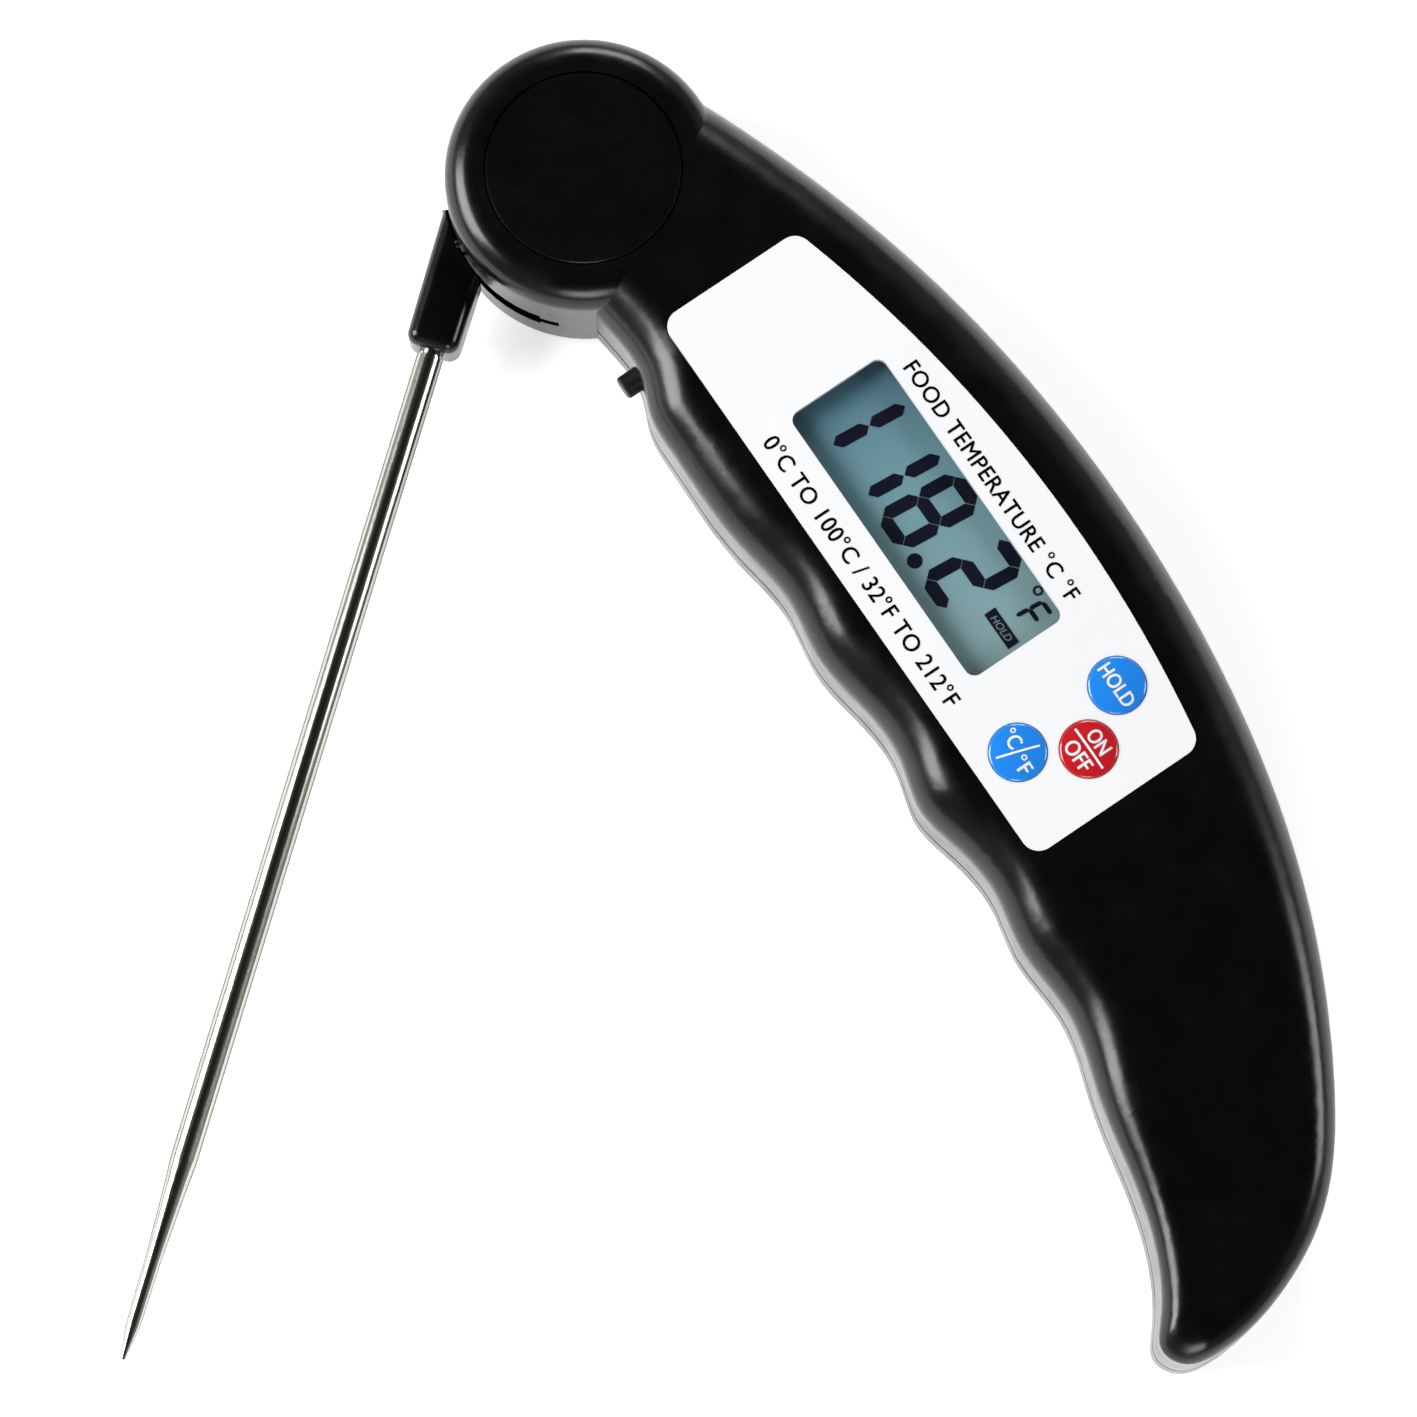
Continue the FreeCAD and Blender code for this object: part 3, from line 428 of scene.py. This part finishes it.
def build_display():
    """The shown reading, 118.2, with a degree sign, an F and the hold sign."""
    outlines = []
    for figure, left in READING:
        outlines += digit_outlines(figure, left * MM, DIGIT_BASE, DIGIT_HEIGHT, DIGIT_WIDTH, BAR)
    outlines.append(disc_outline(POINT_ALONG, DIGIT_BASE + POINT_RADIUS, POINT_RADIUS))
    outlines += digit_outlines("F", UNIT_LEFT, UNIT_BASE, UNIT_HEIGHT, UNIT_WIDTH, UNIT_BAR)
    level = panel_top + PRINT_LIFT
    add_piece("display_digits", flat_prism(outlines, PRINT), "display_ink", "handle",
              plate_matrix(0.0, DISPLAY_RISE, level))
    add_piece("display_degree", ring_mesh(DEGREE_RADIUS, DEGREE_WIDTH, PRINT), "display_ink", "handle",
              plate_matrix(DEGREE_ALONG, DEGREE_ACROSS + DISPLAY_RISE, level))
    panel = flat_prism([rectangle(SIGN_LENGTH, SIGN_WIDTH)], PRINT)
    add_piece("hold_sign", panel, "display_ink", "handle",
              plate_matrix(SIGN_ALONG, SIGN_ACROSS + DISPLAY_RISE, level))
    letters = text_mesh("HOLD", SIGN_LETTERS, PRINT, shear=0.2)
    add_piece("hold_sign_letters", letters, "display_light", "handle",
              plate_matrix(SIGN_ALONG, SIGN_ACROSS + DISPLAY_RISE, level + 1.2 * PRINT))


def heavier(mesh, spread_by):
    """Thickens lettering by laying shifted copies over one another."""
    build = bmesh.new()
    for along, across in ((-1.0, 0.0), (1.0, 0.0), (0.0, -0.5), (0.0, 0.5)):
        copy = mesh.copy()
        copy.transform(Matrix.Translation((along * spread_by, across * spread_by, 0.0)))
        build.from_mesh(copy)
        bpy.data.meshes.remove(copy)
    build.to_mesh(mesh)
    build.free()
    return mesh


def mesh_width(mesh):
    across = [vertex.co.x for vertex in mesh.vertices]
    return max(across) - min(across)


def fitted(text, height, length, weight=KEY_WEIGHT, spacing=1.0):
    """Lettering of a given height and length, centred."""
    mesh = text_mesh(text, height, PRINT, spacing)
    mesh.transform(Matrix.Diagonal((length / mesh_width(mesh), 1.0, 1.0, 1.0)))
    return heavier(mesh, weight)


def printed_line(name, text, height, length, along, across):
    """A line of print on the front plate, fitted to its length."""
    mesh = fitted(text, height, length, LINE_WEIGHT, LINE_SPACING)
    add_piece(name, mesh, "black_print", "handle",
              plate_matrix(along, across, plate_top + PRINT_LIFT))


# ---------------------------------------------------------------- lettering on the domed keys

KEY_RADIUS = 3.2 * MM
DOME_RISE = 0.4 * MM
DOME_RADIUS = (KEY_RADIUS ** 2 + DOME_RISE ** 2) / (2 * DOME_RISE)
LONGEST_EDGE = 0.35 * MM      # lettering is split to edges this short before it is bent


def drape(mesh, crown):
    """Bends flat lettering in a key's own axes onto the key's dome."""
    build = bmesh.new()
    build.from_mesh(mesh)
    bmesh.ops.triangulate(build, faces=build.faces)
    for _ in range(5):
        long_edges = [edge for edge in build.edges if edge.calc_length() > LONGEST_EDGE]
        if not long_edges:
            break
        bmesh.ops.subdivide_edges(build, edges=long_edges, cuts=1)
        bmesh.ops.triangulate(build, faces=build.faces)
    for vertex in build.verts:
        reach = math.hypot(vertex.co.x, vertex.co.y)
        vertex.co.z += crown - DOME_RADIUS + math.sqrt(DOME_RADIUS ** 2 - reach ** 2)
    build.to_mesh(mesh)
    build.free()


def key_letters(name, key, meshes):
    """Puts lettering on one key. meshes are flat, in metres from the key's middle."""
    low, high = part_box(key + "_button")
    build = bmesh.new()
    for mesh in meshes:
        build.from_mesh(mesh)
    whole = bpy.data.meshes.new(name)
    build.to_mesh(whole)
    build.free()
    drape(whole, high[2] + PRINT_LIFT)
    middle = Vector(((low[0] + high[0]) / 2, (low[1] + high[1]) / 2, 0.0))
    add_piece(name, whole, "white_print", key + "_key",
              Matrix.Translation(middle) @ Matrix.Rotation(PLATE_TURN, 4, "Z"))


def moved(mesh, along, across, turn=0.0):
    mesh.transform(Matrix.Translation((along, across, 0.0)) @ Matrix.Rotation(turn, 4, "Z"))
    return mesh


def thin_bar(length, width, along, across, turn):
    """A straight printed stroke, centred on (along, across)."""
    return moved(flat_prism([rectangle(length, width)], PRINT), along, across, turn)


def build_key_letters():
    key_letters("hold_letters", "hold", [fitted("HOLD", 1.7 * MM, 5.1 * MM)])
    key_letters("power_letters", "power", [
        moved(fitted("ON", 1.75 * MM, 2.75 * MM), 0.0, 1.35 * MM),
        thin_bar(5.2 * MM, 0.25 * MM, 0.0, 0.0, 0.0),
        moved(fitted("OFF", 1.75 * MM, 3.5 * MM), 0.0, -1.35 * MM),
    ])
    key_letters("unit_letters", "unit", [
        moved(fitted("°C", 1.75 * MM, 1.95 * MM), -1.5 * MM, 0.35 * MM),
        thin_bar(4.9 * MM, 0.22 * MM, 0.0, 0.0, math.radians(72.0)),
        moved(fitted("°F", 1.75 * MM, 1.8 * MM), 1.5 * MM, -0.35 * MM),
    ])


build_display()
printed_line("upper_line", "FOOD TEMPERATURE °C °F", 1.9 * MM, 31.3 * MM, 0.7 * MM, 8.2 * MM)
printed_line("lower_line", "0°C TO 100°C / 32°F TO 212°F", 1.95 * MM, 35.3 * MM, 0.95 * MM,
             -9.1 * MM)
build_key_letters()

# ---------------------------------------------------------------- stage, light and camera


FLOOR_SIDE = 8.0
FLOOR_DROP = 0.02 * MM        # the floor lies this far under the object
FLOOR_GLOW = 0.55


def make_floor():
    """Plain pale paper with a little light of its own."""
    floor_mesh = bpy.data.meshes.new("floor")
    corners = [(x, y, 0.0) for x, y in rectangle(FLOOR_SIDE, FLOOR_SIDE)]
    floor_mesh.from_pydata(corners, [], [(0, 1, 2, 3)])
    floor = bpy.data.objects.new("floor", floor_mesh)
    bpy.context.scene.collection.objects.link(floor)
    floor.location.z = -FLOOR_DROP
    material, nodes, links, shader = new_material("floor_paper")
    coords = object_coords(nodes)
    mottle = noise(nodes, links, coords, 30.0)
    tone = mix_colors(nodes, links, mottle, (0.93, 0.93, 0.93), (0.95, 0.95, 0.95))
    links.new(tone, shader.inputs["Base Color"])
    shader.inputs["Roughness"].default_value = 0.9
    shader.inputs["Specular IOR Level"].default_value = 0.0
    shader.inputs["Emission Color"].default_value = (1.0, 1.0, 1.0, 1.0)
    shader.inputs["Emission Strength"].default_value = FLOOR_GLOW
    floor_mesh.materials.append(material)


def make_world():
    """Studio surroundings: bright walls all round and a dark ceiling overhead."""
    world = bpy.data.worlds.new("studio")
    bpy.context.scene.world = world
    world.use_nodes = True
    nodes, links = world.node_tree.nodes, world.node_tree.links
    background = nodes["Background"]
    coords = nodes.new("ShaderNodeTexCoord")
    parts = nodes.new("ShaderNodeSeparateXYZ")
    links.new(coords.outputs["Generated"], parts.inputs["Vector"])
    grade = nodes.new("ShaderNodeValToRGB")
    stops = grade.color_ramp.elements
    stops[0].position = 0.0
    stops[0].color = (0.4, 0.4, 0.4, 1.0)
    stops[1].position = 1.0
    stops[1].color = (0.012, 0.012, 0.012, 1.0)
    for position, tone in ((0.45, 0.3), (0.75, 0.04)):
        stop = stops.new(position)
        stop.color = (tone, tone, tone, 1.0)
    links.new(parts.outputs["Z"], grade.inputs["Fac"])
    links.new(grade.outputs["Color"], background.inputs["Color"])
    background.inputs["Strength"].default_value = 0.9


def softbox(name, place, aim, width, height, watts):
    """A rectangular lamp at a place, turned to its aim."""
    light = bpy.data.lights.new(name, "AREA")
    light.shape = "RECTANGLE"
    light.size = width
    light.size_y = height
    light.energy = watts
    lamp = bpy.data.objects.new(name, light)
    bpy.context.scene.collection.objects.link(lamp)
    lamp.location = place
    lamp.rotation_euler = (Vector(aim) - Vector(place)).to_track_quat("-Z", "Y").to_euler()


make_floor()
make_world()

IMAGE_RIGHT = math.radians(63.27)      # direction of the picture's right side in the row's XY plane
TILT = math.radians(10.0)
CAMERA_AIM = Vector((58.2, -14.0, 9.0)) * MM
CAMERA_DISTANCE = 0.7
LENS = 163.1
SENSOR = 36.0
right = Vector((math.cos(IMAGE_RIGHT), math.sin(IMAGE_RIGHT), 0.0))
up = Vector((-math.sin(IMAGE_RIGHT) * math.cos(TILT),
             math.cos(IMAGE_RIGHT) * math.cos(TILT),
             math.sin(TILT)))
back = right.cross(up)

level_up = Vector((up.x, up.y, 0.0)).normalized()
for name, sideways, upward, height, width, watts in (
    ("softbox_left", -0.8, 0.05, 0.55, 0.55, 12.4),
    ("softbox_right", 0.9, 0.1, 0.5, 0.35, 3.2),
    ("softbox_top", 0.1, 0.95, 0.5, 0.4, 4.4),
    ("softbox_bottom", 0.0, -0.9, 0.5, 0.4, 3.5),
):
    place = CAMERA_AIM + right * sideways + level_up * upward + Vector((0.0, 0.0, height))
    softbox(name, place, CAMERA_AIM, width, width, watts)

camera_data = bpy.data.cameras.new("camera")
camera_data.lens = LENS
camera_data.sensor_width = SENSOR
camera = bpy.data.objects.new("camera", camera_data)
bpy.context.scene.collection.objects.link(camera)
turn = Matrix((right, up, back)).transposed().to_4x4()
camera.matrix_world = Matrix.Translation(CAMERA_AIM + back * CAMERA_DISTANCE) @ turn
bpy.context.scene.camera = camera
bpy.context.scene.view_settings.view_transform = "Standard"
